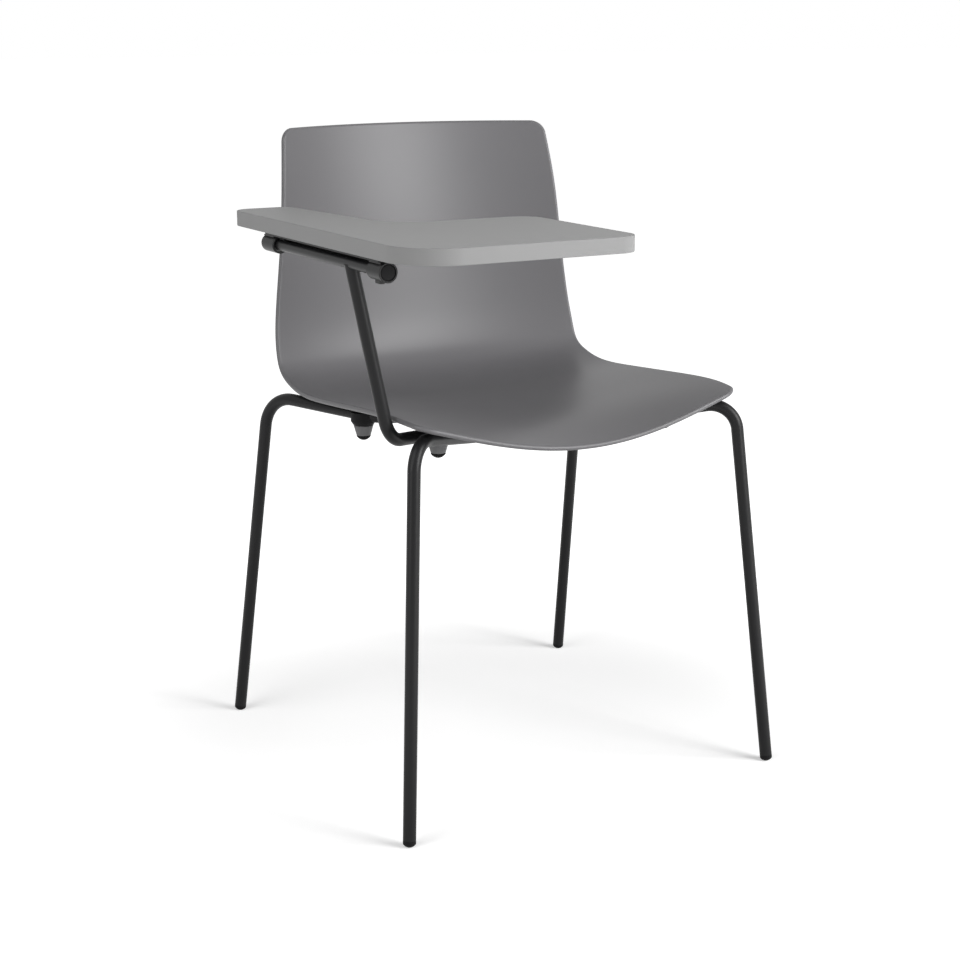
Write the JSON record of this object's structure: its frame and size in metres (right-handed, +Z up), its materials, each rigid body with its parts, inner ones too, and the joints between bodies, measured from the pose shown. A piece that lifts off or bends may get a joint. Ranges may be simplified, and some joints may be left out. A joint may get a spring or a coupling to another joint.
{
  "type": "tablet arm chair",
  "caption": "Moulded one-piece shell chair on a black bent-tube frame, with a hinged L-shaped writing tablet at the sitter's right.",
  "frame": {"origin": "point on the floor under the middle of the whole chair's bounding box, the tablet included", "axes": "+Z up, -Y towards the front of the seat, -X towards the sitter's right, where the tablet is"},
  "size_m": [0.574, 0.6088, 0.817],
  "materials": {
    "shell_plastic": "mid grey polypropylene with a fine matt texture",
    "black_paint": "satin black powder coat",
    "bumper_plastic": "dark grey moulded plastic",
    "black_plastic": "matt black moulded plastic",
    "black_rubber": "matt black rubber",
    "bush_plastic": "smooth dark bearing plastic",
    "board_wood": "raw particle board, hidden by laminate and edging",
    "tablet_laminate": "light grey matt laminate",
    "tablet_edging": "light grey plastic edging"
  },
  "bodies": {
    "chair": {"seat_shell": "shell_plastic", "front_leg_frame": "black_paint", "rear_leg_frame": "black_paint", "spine_bar_right": "black_paint", "spine_bar_left": "black_paint", "arm_clamp_right": "black_paint", "arm_clamp_left": "black_paint", "arm_tube": "black_paint", "hinge_rod": "black_paint", "bumper_front_right": "bumper_plastic", "bumper_rear_right": "bumper_plastic", "bumper_front_left": "bumper_plastic", "bumper_rear_left": "bumper_plastic", "saddle_front_right": "black_plastic", "saddle_rear_right": "black_plastic", "saddle_front_left": "black_plastic", "saddle_rear_left": "black_plastic", "foot_glide_front_right": "black_plastic", "foot_glide_rear_right": "black_plastic", "foot_glide_front_left": "black_plastic", "foot_glide_rear_left": "black_plastic", "arm_tube_plug": "black_plastic", "bumper_tip_front_right": "black_rubber", "bumper_tip_rear_right": "black_rubber", "bumper_tip_front_left": "black_rubber", "bumper_tip_rear_left": "black_rubber"},
    "tablet": {"tablet_core": "board_wood", "tablet_top_laminate": "tablet_laminate", "tablet_underside_laminate": "tablet_laminate", "tablet_edge_band": "tablet_edging", "hinge_plate": "black_paint", "knuckle_front": "black_paint", "knuckle_rear": "black_paint", "hinge_bush_front": "bush_plastic", "hinge_bush_rear": "bush_plastic", "hinge_cap_front": "black_plastic", "hinge_cap_rear": "black_plastic"}
  },
  "joints": [
    {"name": "tablet_hinge", "type": "hinge", "parent": "chair", "child": "tablet", "pos_m": [-0.27525, -0.1311, 0.6866], "axis": [0, -1, 0], "range_deg": [0, 100]}
  ]
}
